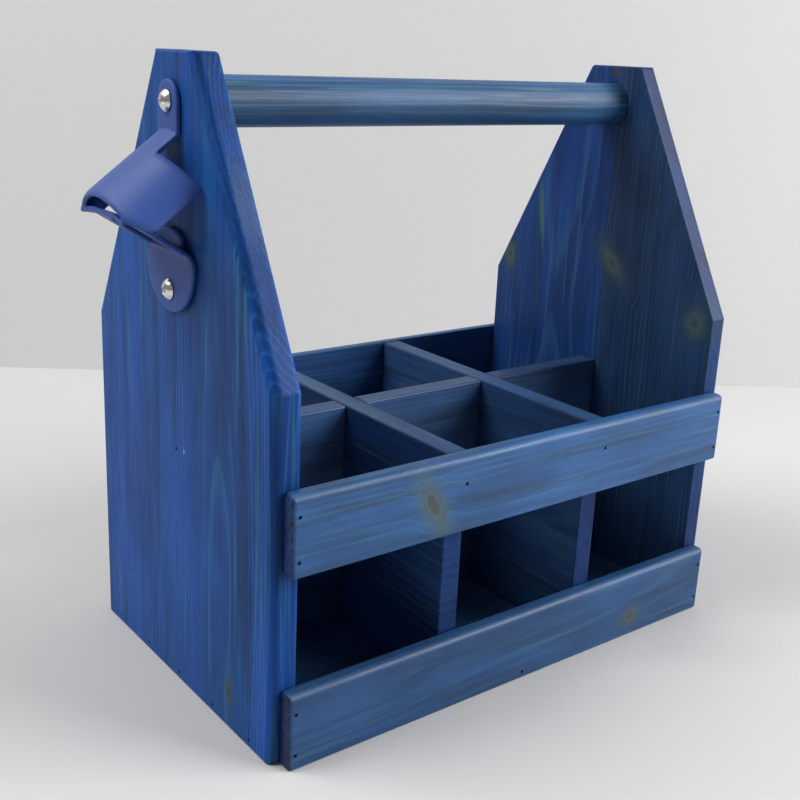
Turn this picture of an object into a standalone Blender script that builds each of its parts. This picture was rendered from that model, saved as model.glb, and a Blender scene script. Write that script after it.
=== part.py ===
"""A six-bottle carrier: two end boards, four slats, crossed dividers, a floor, a dowel handle and an opener.

X runs along the handle, Y across the carrier and Z up. The origin is the middle of the underside.
Each wooden piece is nailed to its neighbours. The sheet-steel bottle opener is screwed to the left end board.
"""

import math

import bmesh
import bpy
from mathutils import Matrix, Vector

MM = 0.001

# Overall sizes
CARRIER_LENGTH = 255 * MM
BOARD_WIDTH = 152 * MM
BOARD_HEIGHT = 265 * MM

# End boards
BOARD_THICKNESS = 11.5 * MM
SHOULDER_HEIGHT = 150.5 * MM
BOARD_TOP_WIDTH = 32 * MM
BOARD_EDGE_ROUND = 4 * MM

# Slats: an upper and a lower one on each long side
SLAT_THICKNESS = 6.5 * MM
SLAT_WIDTH = 33 * MM
SLAT_INSET = 4.4 * MM
SLAT_GAP = 48.4 * MM
SLAT_EDGE_ROUND = 2.2 * MM

# Floor and dividers
FLOOR_THICKNESS = 6.5 * MM
DIVIDER_DROP = 0.4 * MM
CROSS_DIVIDER_THICKNESS = 10.4 * MM
CROSS_DIVIDER_SPACING = 81.2 * MM
LONG_DIVIDER_THICKNESS = 10 * MM
HALF_LAP_CLEARANCE = 0.4 * MM

# Handle
DOWEL_RADIUS = 10.1 * MM
DOWEL_BELOW_TOP = 18.5 * MM
SOCKET_DEPTH = 5 * MM

# Gap between wooden pieces that touch, and room round a fastener in its hole
JOINT_GAP = 0.3 * MM
FASTENER_CLEARANCE = 0.25 * MM

# Nails
NAIL_LENGTH = 22 * MM
NAIL_HEAD_RADIUS = 0.85 * MM
NAIL_SHANK_RADIUS = 0.55 * MM
NAIL_HEAD_HEIGHT = 0.7 * MM
NAIL_SINK = 0.8 * MM
NAIL_POINT = 1.6 * MM
NAIL_FROM_SLAT_END = 3 * MM
SLAT_NAIL_FROM_TOP = 8.4 * MM
SLAT_NAIL_ROW_GAP = 18 * MM
DIVIDER_NAIL_FROM_TOP = 12 * MM
LONG_DIVIDER_NAIL_FROM_TOP = 6.5 * MM
FLOOR_NAIL_COUNT = 5
FLOOR_NAIL_PITCH = 30 * MM

# Screws
SCREW_SHANK_RADIUS = 1.7 * MM
SCREW_HEAD_RADIUS = 4.2 * MM
SCREW_DOME_HEIGHT = 2.3 * MM
HANDLE_SCREW_LENGTH = 24 * MM
LOWER_SCREW_LENGTH = 11 * MM
SCREW_POINT = 3 * MM
COUNTERSINK_DEPTH = 2.6 * MM

# Bottle opener: one bent sheet, with a tab, a neck, an arched hood, a pierced leg and a lower plate
SHEET = 2 * MM
TAB_RADIUS = 8 * MM
TAB_DROP = 10.5 * MM
HOOD_SLOPE = math.radians(37)
HOOD_RADIUS = 30 * MM
HOOD_HALF_WIDTH = 26.6 * MM
HOOD_CORNER_RADIUS = 7 * MM
NECK_HALF_WIDTH = 8 * MM
NECK_LENGTH = 10.8 * MM
HOOD_LENGTH = 28.6 * MM
OPENER_SCREW_SPACING = 72 * MM
PLATE_RADIUS = 19.8 * MM
PLATE_BELOW_SCREW = 9 * MM
LEG_ABOVE_SCREW = 15.5 * MM
MOUTH_HALF_WIDTH = 11 * MM
MOUTH_CORNER = 10.4 * MM
MOUTH_RIM = 5.5 * MM
MOUTH_WALL_OFFSET = 4 * MM
TONGUE_HALF_WIDTH = 10.2 * MM
TONGUE_HEIGHT = 9 * MM
TONGUE_TOP_RADIUS = 20 * MM

# Places worked out from the sizes above
HALF_LENGTH = CARRIER_LENGTH / 2
HALF_WIDTH = BOARD_WIDTH / 2
INNER_HALF_LENGTH = HALF_LENGTH - BOARD_THICKNESS
UPPER_SLAT_BOTTOM = SLAT_WIDTH + SLAT_GAP
SLAT_TOP = UPPER_SLAT_BOTTOM + SLAT_WIDTH
DIVIDER_TOP = SLAT_TOP - DIVIDER_DROP
DIVIDER_BOTTOM = FLOOR_THICKNESS + JOINT_GAP
LAP_HEIGHT = (DIVIDER_TOP + DIVIDER_BOTTOM) / 2
DOWEL_HEIGHT = BOARD_HEIGHT - DOWEL_BELOW_TOP
SLAT_OUTER_Y = HALF_WIDTH + JOINT_GAP + SLAT_THICKNESS
EDGE_NAIL_X = HALF_LENGTH - SLAT_INSET - NAIL_FROM_SLAT_END

# Bore of a tool that must pass right through a face
OVERCUT = 2 * MM

X_AXIS = Vector((1, 0, 0))
Y_AXIS = Vector((0, 1, 0))
Z_AXIS = Vector((0, 0, 1))


def clear_scene():
    for obj in list(bpy.data.objects):
        bpy.data.objects.remove(obj)


def make_material(name, colour, roughness, metallic):
    material = bpy.data.materials.new(name)
    material.use_nodes = True
    shader = material.node_tree.nodes["Principled BSDF"]
    shader.inputs["Base Color"].default_value = (*colour, 1)
    shader.inputs["Roughness"].default_value = roughness
    shader.inputs["Metallic"].default_value = metallic
    return material


def frame(origin, u_axis, v_axis):
    """A frame at origin with its X along u_axis, its Y along v_axis and its Z square to both."""
    matrix = Matrix((u_axis, v_axis, u_axis.cross(v_axis))).transposed().to_4x4()
    matrix.translation = origin
    return matrix


def outward(direction):
    """The rotation that turns local Z to a direction square to Z, with local Y upright."""
    return frame(Vector(), Z_AXIS.cross(direction), Z_AXIS).to_quaternion()


def arc(centre, radius, start, end, steps):
    """Points on a circle in the plane, from one angle to another, in degrees."""
    angles = [math.radians(start + (end - start) * k / steps) for k in range(steps + 1)]
    return [(centre[0] + radius * math.cos(a), centre[1] + radius * math.sin(a)) for a in angles]


def box_outline(u_min, u_max, v_min, v_max):
    return [(u_min, v_min), (u_max, v_min), (u_max, v_max), (u_min, v_max)]


def add_prism(bm, outline, depth, place=Matrix()):
    """Extrude a flat outline along the frame's Z, by a depth."""
    base = bm.faces.new([bm.verts.new(place @ Vector((u, v, 0))) for u, v in outline])
    grown = bmesh.ops.extrude_face_region(bm, geom=[base])["geom"]
    tops = [item for item in grown if isinstance(item, bmesh.types.BMVert)]
    bmesh.ops.translate(bm, vec=place.to_3x3() @ Vector((0, 0, depth)), verts=tops)


def add_turned(bm, profile, sides, place=Matrix()):
    """Turn a profile of (radius, height) points about the frame's Z. Its ends lie on the axis."""
    rings = []
    for radius, height in profile:
        count = sides if radius else 1
        angles = [2 * math.pi * k / sides for k in range(count)]
        points = [Vector((radius * math.cos(a), radius * math.sin(a), height)) for a in angles]
        rings.append([bm.verts.new(place @ point) for point in points])
    for low, high in zip(rings, rings[1:]):
        for k in range(sides):
            corners = [low[k % len(low)], low[(k + 1) % len(low)]]
            corners += [high[(k + 1) % len(high)], high[k % len(high)]]
            bm.faces.new(list(dict.fromkeys(corners)))


def add_object(name, bm, material, root, location=(0, 0, 0), rotation=None, smooth=False):
    bmesh.ops.recalc_face_normals(bm, faces=bm.faces)
    mesh = bpy.data.meshes.new(name)
    bm.to_mesh(mesh)
    bm.free()
    if smooth:
        mesh.shade_smooth()
        mesh.set_sharp_from_angle(angle=math.radians(35))
    if material:
        mesh.materials.append(material)
    return place_object(name, mesh, root, location, rotation)


def place_object(name, mesh, root, location, rotation):
    obj = bpy.data.objects.new(name, mesh)
    bpy.context.scene.collection.objects.link(obj)
    obj.parent = root
    obj.location = location
    if rotation:
        obj.rotation_mode = "QUATERNION"
        obj.rotation_quaternion = rotation
    return obj


def make_tool(name, bm, root):
    """A hidden solid that a Boolean adds or takes away."""
    tool = add_object(name, bm, None, root)
    tool.hide_render = True
    tool.display_type = "WIRE"
    return tool


def add_boolean(obj, operation, tool):
    modifier = obj.modifiers.new(tool.name, "BOOLEAN")
    modifier.operation = operation
    modifier.object = tool
    modifier.solver = "EXACT"


# Fasteners


def nail_places():
    """Each nail's name, the point on the wood's surface above it, and the way out of the wood."""
    places = []
    for side, sign_y in (("front", -1), ("back", 1)):
        out = sign_y * Y_AXIS
        for level, top in (("upper", SLAT_TOP), ("lower", SLAT_WIDTH)):
            for end, sign_x in (("left", -1), ("right", 1)):
                for row in range(2):
                    height = top - SLAT_NAIL_FROM_TOP - row * SLAT_NAIL_ROW_GAP
                    point = Vector((sign_x * EDGE_NAIL_X, sign_y * SLAT_OUTER_Y, height))
                    places.append((f"nail_{side}_{level}_slat_{end}_{row + 1}", point, out))
        for end, sign_x in (("left", -1), ("right", 1)):
            x = sign_x * CROSS_DIVIDER_SPACING / 2
            point = Vector((x, sign_y * SLAT_OUTER_Y, SLAT_TOP - DIVIDER_NAIL_FROM_TOP))
            places.append((f"nail_{side}_{end}_cross_divider", point, out))
        point = Vector((0, sign_y * SLAT_OUTER_Y, FLOOR_THICKNESS / 2))
        places.append((f"nail_{side}_floor", point, out))
    for end, sign_x in (("left", -1), ("right", 1)):
        out = sign_x * X_AXIS
        for index in range(FLOOR_NAIL_COUNT):
            y = (index - (FLOOR_NAIL_COUNT - 1) / 2) * FLOOR_NAIL_PITCH
            point = Vector((sign_x * HALF_LENGTH, y, FLOOR_THICKNESS / 2))
            places.append((f"nail_{end}_floor_{index + 1}", point, out))
        point = Vector((sign_x * HALF_LENGTH, 0, DIVIDER_TOP - LONG_DIVIDER_NAIL_FROM_TOP))
        places.append((f"nail_{end}_long_divider", point, out))
    return places


def nail_profile(clearance=0, rise=0):
    """A nail, or with a clearance and a rise above the surface the hole it is driven into."""
    head_top = -NAIL_SINK + rise
    neck = -NAIL_SINK - NAIL_HEAD_HEIGHT - clearance
    tip = -NAIL_SINK - NAIL_LENGTH - clearance
    head = NAIL_HEAD_RADIUS + clearance
    shank = NAIL_SHANK_RADIUS + clearance
    return [(0, head_top), (head, head_top), (head, neck), (shank, neck), (shank, tip + NAIL_POINT), (0, tip)]


def make_nails(steel, root):
    bm = bmesh.new()
    add_turned(bm, nail_profile(), 8)
    mesh = None
    for name, point, out in nail_places():
        if mesh is None:
            mesh = add_object(name, bm, steel, root, point, outward(out)).data
        else:
            place_object(name, mesh, root, point, outward(out))


def opener_screw_heights():
    """The opener's upper screw runs into the end of the handle, the lower one into the board."""
    return DOWEL_HEIGHT, DOWEL_HEIGHT - OPENER_SCREW_SPACING


def screw_shank(length, clearance=0):
    """The profile of a screw's shank below the origin of its frame, from its shoulder to its tip."""
    radius = SCREW_SHANK_RADIUS + clearance
    return [(radius, -length + SCREW_POINT - clearance), (0, -length - clearance)]


def make_dome_screw(name, height, length, steel, root):
    """A round-headed screw. Local Z points out of the board, and its zero is the head's underside."""
    dome_radius = (SCREW_HEAD_RADIUS**2 + SCREW_DOME_HEIGHT**2) / (2 * SCREW_DOME_HEIGHT)
    half_angle = math.degrees(math.asin(SCREW_HEAD_RADIUS / dome_radius))
    dome = arc((0, SCREW_DOME_HEIGHT - dome_radius), dome_radius, 90, 90 - half_angle, 5)
    bm = bmesh.new()
    profile = [(0, SCREW_DOME_HEIGHT), *dome[1:], (SCREW_SHANK_RADIUS, 0), *screw_shank(length)]
    add_turned(bm, profile, 24)
    x = -(HALF_LENGTH + 2 * JOINT_GAP + SHEET)
    add_object(name, bm, steel, root, (x, 0, height), outward(-X_AXIS), smooth=True)


def countersunk_profile(clearance=0, rise=0):
    """A flat-headed screw that sits just under the wood's surface, or the hole for it."""
    head = SCREW_HEAD_RADIUS + clearance
    top = -JOINT_GAP + rise
    shoulder = (SCREW_SHANK_RADIUS + clearance, -JOINT_GAP - COUNTERSINK_DEPTH - clearance)
    rim = [(head, top), (head, -JOINT_GAP)] if rise else [(head, top)]
    return [(0, top), *rim, shoulder, *screw_shank(HANDLE_SCREW_LENGTH, clearance)]


def make_fastener_bores(root):
    """One tool that holds the hole of every nail and screw."""
    bm = bmesh.new()
    for _, point, out in nail_places():
        place = Matrix.LocRotScale(point, outward(out), None)
        add_turned(bm, nail_profile(FASTENER_CLEARANCE, OVERCUT), 8, place)
    upper, lower = opener_screw_heights()
    for height, length in ((upper, HANDLE_SCREW_LENGTH), (lower, LOWER_SCREW_LENGTH)):
        point = Vector((-(HALF_LENGTH + 2 * JOINT_GAP + SHEET), 0, height))
        radius = SCREW_SHANK_RADIUS + FASTENER_CLEARANCE
        profile = [(0, OVERCUT), (radius, OVERCUT), *screw_shank(length, FASTENER_CLEARANCE)]
        add_turned(bm, profile, 16, Matrix.LocRotScale(point, outward(-X_AXIS), None))
    point = Vector((HALF_LENGTH, 0, DOWEL_HEIGHT))
    profile = countersunk_profile(FASTENER_CLEARANCE, OVERCUT)
    add_turned(bm, profile, 16, Matrix.LocRotScale(point, outward(X_AXIS), None))
    return make_tool("fastener_bores", bm, root)


def make_screws(steel, root):
    upper, lower = opener_screw_heights()
    make_dome_screw("opener_upper_screw", upper, HANDLE_SCREW_LENGTH, steel, root)
    make_dome_screw("opener_lower_screw", lower, LOWER_SCREW_LENGTH, steel, root)
    bm = bmesh.new()
    add_turned(bm, countersunk_profile(), 16)
    add_object("right_handle_screw", bm, steel, root, (HALF_LENGTH, 0, DOWEL_HEIGHT), outward(X_AXIS), smooth=True)


# Wood


def round_edges(bm, chosen, radius, segments):
    edges = [edge for edge in bm.edges if all(chosen(vert.co) for vert in edge.verts)]
    bmesh.ops.bevel(bm, geom=edges, offset=radius, segments=segments, profile=0.5, affect="EDGES")


def make_end_board(name, out, pine, bores, sockets, root):
    """A gabled board, its outer face at local Z zero and its outer edges rounded."""
    bm = bmesh.new()
    outline = [(-HALF_WIDTH, 0), (HALF_WIDTH, 0), (HALF_WIDTH, SHOULDER_HEIGHT)]
    outline += [(BOARD_TOP_WIDTH / 2, BOARD_HEIGHT), (-BOARD_TOP_WIDTH / 2, BOARD_HEIGHT)]
    outline += [(-HALF_WIDTH, SHOULDER_HEIGHT)]
    add_prism(bm, outline, -BOARD_THICKNESS)
    round_edges(bm, lambda co: co.z == 0, BOARD_EDGE_ROUND, 4)
    board = add_object(name, bm, pine, root, out * HALF_LENGTH, outward(out))
    add_boolean(board, "DIFFERENCE", sockets)
    add_boolean(board, "DIFFERENCE", bores)


def make_slat(name, out, bottom, pine, bores, root):
    """A slat with its outer face at local Z zero and its lower edge at local Y zero."""
    bm = bmesh.new()
    half = HALF_LENGTH - SLAT_INSET
    add_prism(bm, box_outline(-half, half, 0, SLAT_WIDTH), -SLAT_THICKNESS)
    round_edges(bm, lambda co: co.z == 0, SLAT_EDGE_ROUND, 3)
    location = out * SLAT_OUTER_Y + Z_AXIS * bottom
    slat = add_object(name, bm, pine, root, location, outward(out))
    add_boolean(slat, "DIFFERENCE", bores)


def make_floor(pine, bores, root):
    bm = bmesh.new()
    reach = INNER_HALF_LENGTH - JOINT_GAP
    add_prism(bm, box_outline(-reach, reach, -HALF_WIDTH, HALF_WIDTH), FLOOR_THICKNESS)
    add_boolean(add_object("bottom_board", bm, pine, root), "DIFFERENCE", bores)


def make_long_divider(pine, bores, root):
    """Notched from above, where the cross dividers drop over it."""
    reach = INNER_HALF_LENGTH - JOINT_GAP
    half_notch = CROSS_DIVIDER_THICKNESS / 2 + HALF_LAP_CLEARANCE
    outline = [(-reach, DIVIDER_BOTTOM), (reach, DIVIDER_BOTTOM), (reach, DIVIDER_TOP)]
    for x in (CROSS_DIVIDER_SPACING / 2, -CROSS_DIVIDER_SPACING / 2):
        outline += [(x + half_notch, DIVIDER_TOP), (x + half_notch, LAP_HEIGHT)]
        outline += [(x - half_notch, LAP_HEIGHT), (x - half_notch, DIVIDER_TOP)]
    outline += [(-reach, DIVIDER_TOP)]
    bm = bmesh.new()
    place = frame(Y_AXIS * LONG_DIVIDER_THICKNESS / 2, X_AXIS, Z_AXIS)
    add_prism(bm, outline, LONG_DIVIDER_THICKNESS, place)
    add_boolean(add_object("long_divider", bm, pine, root), "DIFFERENCE", bores)


def make_cross_divider(name, x, pine, bores, root):
    """Notched from below to straddle the long divider, with its ends behind the slats."""
    half_notch = LONG_DIVIDER_THICKNESS / 2 + HALF_LAP_CLEARANCE
    notch_top = LAP_HEIGHT + HALF_LAP_CLEARANCE
    outline = [(-HALF_WIDTH, DIVIDER_BOTTOM), (-half_notch, DIVIDER_BOTTOM), (-half_notch, notch_top)]
    outline += [(half_notch, notch_top), (half_notch, DIVIDER_BOTTOM), (HALF_WIDTH, DIVIDER_BOTTOM)]
    outline += [(HALF_WIDTH, DIVIDER_TOP), (-HALF_WIDTH, DIVIDER_TOP)]
    bm = bmesh.new()
    place = frame(-X_AXIS * CROSS_DIVIDER_THICKNESS / 2, Y_AXIS, Z_AXIS)
    add_prism(bm, outline, CROSS_DIVIDER_THICKNESS, place)
    divider = add_object(name, bm, pine, root, (x, 0, 0))
    add_boolean(divider, "DIFFERENCE", bores)


def make_dowel(pine, bores, root):
    reach = INNER_HALF_LENGTH + SOCKET_DEPTH - JOINT_GAP
    bm = bmesh.new()
    add_turned(bm, [(0, -reach), (DOWEL_RADIUS, -reach), (DOWEL_RADIUS, reach), (0, reach)], 40)
    dowel = add_object("handle_dowel", bm, pine, root, (0, 0, DOWEL_HEIGHT), outward(X_AXIS), smooth=True)
    add_boolean(dowel, "DIFFERENCE", bores)


def make_sockets(root):
    """One tool with the two blind holes that the handle's ends sit in."""
    bm = bmesh.new()
    radius = DOWEL_RADIUS + JOINT_GAP
    profile = [(0, 0), (radius, 0), (radius, SOCKET_DEPTH + OVERCUT), (0, SOCKET_DEPTH + OVERCUT)]
    for out in (X_AXIS, -X_AXIS):
        point = out * (INNER_HALF_LENGTH - OVERCUT) + Z_AXIS * DOWEL_HEIGHT
        add_turned(bm, profile, 40, Matrix.LocRotScale(point, outward(out), None))
    return make_tool("handle_sockets", bm, root)


# Bottle opener


def hood_corner():
    """Where the middle of the leg's sheet meets the hood's inner face, at the corners of its lip, as x and z."""
    radius = HOOD_RADIUS - SHEET
    angle = math.asin(PLATE_RADIUS / radius)
    along = NECK_LENGTH + HOOD_LENGTH - SHEET / 2
    drop = HOOD_RADIUS - radius * math.cos(angle)
    x = -along * math.cos(HOOD_SLOPE) + drop * math.sin(HOOD_SLOPE)
    z = -along * math.sin(HOOD_SLOPE) - drop * math.cos(HOOD_SLOPE)
    return x, z


def add_arched_strip(bm, half_angle, columns, rows, reach):
    """A strip of the hood's arch, one sheet thick. reach gives its two ends along the slope at an angle."""
    down = Vector((-math.cos(HOOD_SLOPE), 0, -math.sin(HOOD_SLOPE)))
    rise = Vector((-math.sin(HOOD_SLOPE), 0, math.cos(HOOD_SLOPE)))
    layers = []
    for radius in (HOOD_RADIUS, HOOD_RADIUS - SHEET):
        layer = []
        for column in range(columns + 1):
            angle = half_angle * (2 * column / columns - 1)
            near, far = reach(angle)
            around = Y_AXIS * radius * math.sin(angle) + rise * (radius * math.cos(angle) - HOOD_RADIUS)
            points = [around + down * (near + (far - near) * row / rows) for row in range(rows + 1)]
            layer.append([bm.verts.new(point) for point in points])
        layers.append(layer)
    outer, inner = layers
    for layer in layers:
        for left, right in zip(layer, layer[1:]):
            for row in range(rows):
                bm.faces.new([left[row], right[row], right[row + 1], left[row + 1]])
    for column in (0, columns):
        for row in range(rows):
            edge = [outer[column][row], outer[column][row + 1]]
            bm.faces.new(edge + [inner[column][row + 1], inner[column][row]])
    for row in (0, rows):
        for column in range(columns):
            edge = [outer[column][row], outer[column + 1][row]]
            bm.faces.new(edge + [inner[column + 1][row], inner[column][row]])


def hood_reach(angle):
    """The hood runs from the neck to its lip, with rounded lower corners."""
    beside = HOOD_HALF_WIDTH - HOOD_RADIUS * abs(math.sin(angle))
    into_corner = max(0, HOOD_CORNER_RADIUS - beside)
    trim = HOOD_CORNER_RADIUS - math.sqrt(max(0, HOOD_CORNER_RADIUS**2 - into_corner**2))
    return NECK_LENGTH, NECK_LENGTH + HOOD_LENGTH - trim


def neck_reach(_angle):
    """The neck starts at the bend, where the tab laps it, and ends inside the hood."""
    return 0, NECK_LENGTH + SHEET


def make_leg(root, bend_z):
    """The leg runs up and out from the lower plate's bend to the hood's lower corners."""
    x, z = hood_corner()
    start = Vector((SHEET / 2, 0, bend_z))
    run = Vector((x, 0, z)) - start
    along = run.normalized()
    length = run.length + SHEET / 2
    place = frame(start, along, Y_AXIS) @ Matrix.Translation((0, 0, -SHEET / 2))
    bm = bmesh.new()
    lapped = PLATE_RADIUS + SHEET
    outline = [(0, -PLATE_RADIUS), (length, -lapped), (length, lapped), (0, PLATE_RADIUS)]
    add_prism(bm, outline, SHEET, place)
    leg = make_tool("opener_leg", bm, root)
    bm = bmesh.new()
    mouth_start = MOUTH_WALL_OFFSET
    mouth_end = length - MOUTH_RIM
    corner = min(MOUTH_CORNER, (mouth_end - mouth_start) / 2)
    mouth = arc((mouth_end - corner, MOUTH_HALF_WIDTH - corner), corner, 0, 90, 6)
    mouth += [(mouth_start, MOUTH_HALF_WIDTH), (mouth_start, -MOUTH_HALF_WIDTH)]
    mouth += arc((mouth_end - corner, corner - MOUTH_HALF_WIDTH), corner, -90, 0, 6)
    below = place @ Matrix.Translation((0, 0, -OVERCUT))
    add_prism(bm, mouth, SHEET + 2 * OVERCUT, below)
    add_boolean(leg, "DIFFERENCE", make_tool("opener_mouth", bm, root))
    return leg


def make_opener(paint, bores, root):
    """Local zero is where the sheet leaves the board under the tab, on the sheet's outer face."""
    upper, lower = opener_screw_heights()
    bend = Vector((-(HALF_LENGTH + JOINT_GAP + SHEET), 0, upper - TAB_DROP))
    holder = bpy.data.objects.new("opener_frame", None)
    bpy.context.scene.collection.objects.link(holder)
    holder.parent = root
    holder.location = bend
    wall = frame(Vector(), Y_AXIS, Z_AXIS)
    bm = bmesh.new()
    tab = arc((0, upper - bend.z), TAB_RADIUS, 0, 180, 12) + [(-TAB_RADIUS, -SHEET), (TAB_RADIUS, -SHEET)]
    add_prism(bm, tab, SHEET, wall)
    opener = add_object("bottle_opener", bm, paint, holder)
    leg_bend = lower + LEG_ABOVE_SCREW - bend.z
    plate_centre = lower - PLATE_BELOW_SCREW + PLATE_RADIUS - bend.z
    bm = bmesh.new()
    plate = arc((0, plate_centre), PLATE_RADIUS, 180, 360, 20)
    plate += [(PLATE_RADIUS, leg_bend + SHEET), (-PLATE_RADIUS, leg_bend + SHEET)]
    add_prism(bm, plate, SHEET, wall)
    pieces = [make_tool("opener_plate", bm, holder)]
    bm = bmesh.new()
    tongue_centre = (0, leg_bend + TONGUE_HEIGHT - TONGUE_TOP_RADIUS)
    lean = math.degrees(math.asin(TONGUE_HALF_WIDTH / TONGUE_TOP_RADIUS))
    tongue = [(-TONGUE_HALF_WIDTH, leg_bend), (TONGUE_HALF_WIDTH, leg_bend)]
    tongue += arc(tongue_centre, TONGUE_TOP_RADIUS, 90 - lean, 90 + lean, 8)
    add_prism(bm, tongue, SHEET, wall)
    pieces.append(make_tool("opener_tongue", bm, holder))
    bm = bmesh.new()
    add_arched_strip(bm, math.asin(NECK_HALF_WIDTH / HOOD_RADIUS), 4, 1, neck_reach)
    pieces.append(make_tool("opener_neck", bm, holder))
    bm = bmesh.new()
    add_arched_strip(bm, math.asin(HOOD_HALF_WIDTH / HOOD_RADIUS), 24, 1, hood_reach)
    pieces.append(make_tool("opener_hood", bm, holder))
    pieces.append(make_leg(holder, leg_bend))
    for piece in pieces:
        add_boolean(opener, "UNION", piece)
    add_boolean(opener, "DIFFERENCE", bores)


def main():
    clear_scene()
    pine = make_material("stained_pine", (0.035, 0.1, 0.24), 0.55, 0)
    paint = make_material("blue_powder_coat", (0.06, 0.1, 0.36), 0.45, 0)
    bright = make_material("bright_steel", (0.75, 0.75, 0.74), 0.2, 1)
    root = bpy.data.objects.new("bottle_carrier", None)
    bpy.context.scene.collection.objects.link(root)
    bores = make_fastener_bores(root)
    sockets = make_sockets(root)
    make_end_board("left_end_board", -X_AXIS, pine, bores, sockets, root)
    make_end_board("right_end_board", X_AXIS, pine, bores, sockets, root)
    make_floor(pine, bores, root)
    for side, out in (("front", -Y_AXIS), ("back", Y_AXIS)):
        make_slat(f"{side}_lower_slat", out, 0, pine, bores, root)
        make_slat(f"{side}_upper_slat", out, UPPER_SLAT_BOTTOM, pine, bores, root)
    make_long_divider(pine, bores, root)
    make_cross_divider("left_cross_divider", -CROSS_DIVIDER_SPACING / 2, pine, bores, root)
    make_cross_divider("right_cross_divider", CROSS_DIVIDER_SPACING / 2, pine, bores, root)
    make_dowel(pine, bores, root)
    make_opener(paint, bores, root)
    make_screws(bright, root)
    make_nails(bright, root)


main()
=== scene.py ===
"""The finished look of a stained pine six-bottle carrier: wood, opener, fastenings, table and lights."""

import math

import bmesh
import bpy
from mathutils import Matrix, Vector


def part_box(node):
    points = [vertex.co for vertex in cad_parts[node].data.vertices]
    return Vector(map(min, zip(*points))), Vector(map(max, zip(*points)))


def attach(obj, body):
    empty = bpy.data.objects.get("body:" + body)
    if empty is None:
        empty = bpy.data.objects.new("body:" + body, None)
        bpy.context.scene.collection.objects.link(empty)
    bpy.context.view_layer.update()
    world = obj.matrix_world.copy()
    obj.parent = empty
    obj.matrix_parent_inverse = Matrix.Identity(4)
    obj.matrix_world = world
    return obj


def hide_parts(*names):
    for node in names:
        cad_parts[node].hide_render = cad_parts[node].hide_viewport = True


bl_info = {
    "name": "Bottle carrier finish",
    "version": (1, 0, 0),
    "blender": (4, 5, 0),
    "location": "3D View > Sidebar > Carrier",
    "description": "Builds the finished pieces of a six-bottle carrier round its packed parts",
    "category": "Object",
}

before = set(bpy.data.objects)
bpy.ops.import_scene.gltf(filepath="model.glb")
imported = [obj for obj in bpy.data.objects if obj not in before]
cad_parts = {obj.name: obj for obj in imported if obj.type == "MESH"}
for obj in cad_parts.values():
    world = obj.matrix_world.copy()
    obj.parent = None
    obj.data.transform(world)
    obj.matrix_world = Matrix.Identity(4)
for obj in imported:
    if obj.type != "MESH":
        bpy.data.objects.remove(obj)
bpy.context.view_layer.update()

MM = 0.001
X_AXIS = Vector((1, 0, 0))
Y_AXIS = Vector((0, 1, 0))
Z_AXIS = Vector((0, 0, 1))


# Mesh helpers


def placed(origin, u_axis, v_axis):
    """A matrix with its X along u_axis, its Y along v_axis and its Z square to both."""
    matrix = Matrix((u_axis, v_axis, u_axis.cross(v_axis))).transposed().to_4x4()
    matrix.translation = origin
    return matrix


def arc(centre, radius, start, end, steps):
    """Points on a circle, from one angle to another in degrees."""
    angles = [math.radians(start + (end - start) * k / steps) for k in range(steps + 1)]
    return [(centre[0] + radius * math.cos(a), centre[1] + radius * math.sin(a)) for a in angles]


def rectangle(u_min, u_max, v_min, v_max):
    return [(u_min, v_min), (u_max, v_min), (u_max, v_max), (u_min, v_max)]


def ease(low, high, value):
    """0 below low, 1 above high and a smooth rise between them."""
    share = min(1, max(0, (value - low) / (high - low)))
    return share * share * (3 - 2 * share)


def crossing(corner, before, after, inset_before, inset_after):
    """The corner of a polygon after its two edges, given by their inward normals, move inwards."""
    turn = before.x * after.y - before.y * after.x
    u = (inset_before * after.y - inset_after * before.y) / turn
    v = (inset_after * before.x - inset_before * after.x) / turn
    return Vector((corner[0] + u, corner[1] + v))


def inward_normals(outline):
    """The inward normal of the edge that starts at each corner of a counter-clockwise outline."""
    normals = []
    for k, point in enumerate(outline):
        ahead = outline[(k + 1) % len(outline)]
        edge = Vector((ahead[0] - point[0], ahead[1] - point[1])).normalized()
        normals.append(Vector((-edge.y, edge.x)))
    return normals


def ring_of(outline, normals, insets, heights, corner, steps):
    """One loop round an outline, each edge moved inwards and lifted, with its convex corners rounded."""
    points = []
    for k, point in enumerate(outline):
        before, after = normals[k - 1], normals[k]
        if before.x * after.y - before.y * after.x < 0:
            spot = crossing(point, before, after, insets[k - 1], insets[k])
            points.append(Vector((spot.x, spot.y, (heights[k - 1] + heights[k]) / 2)))
            continue
        radius = max(corner - (insets[k - 1] + insets[k]) / 2, 0.05 * MM)
        centre = crossing(point, before, after, insets[k - 1] + radius, insets[k] + radius)
        turn = before.angle_signed(after)
        for step in range(steps + 1):
            share = step / steps
            out = Matrix.Rotation(-turn * share, 2) @ before
            height = heights[k - 1] + (heights[k] - heights[k - 1]) * ease(0, 1, share)
            points.append(Vector((centre.x - radius * out.x, centre.y - radius * out.y, height)))
    return points


def add_rounded_slab(bm, outline, depth, place, outer, inner, corner, turns=6):
    """A board with rounded edges. outer gives the radius at each outline edge of its top face."""
    normals = inward_normals(outline)
    rings = []
    for step in range(4):
        angle = math.pi / 2 * step / 3
        insets = [inner * (1 - math.sin(angle))] * len(outline)
        heights = [inner * (1 - math.cos(angle))] * len(outline)
        rings.append(ring_of(outline, normals, insets, heights, corner, 4))
    for step in range(turns + 1):
        angle = math.pi / 2 * step / turns
        insets = [radius * (1 - math.cos(angle)) for radius in outer]
        heights = [depth - radius * (1 - math.sin(angle)) for radius in outer]
        rings.append(ring_of(outline, normals, insets, heights, corner, 4))
    add_rings(bm, rings, place)


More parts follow.
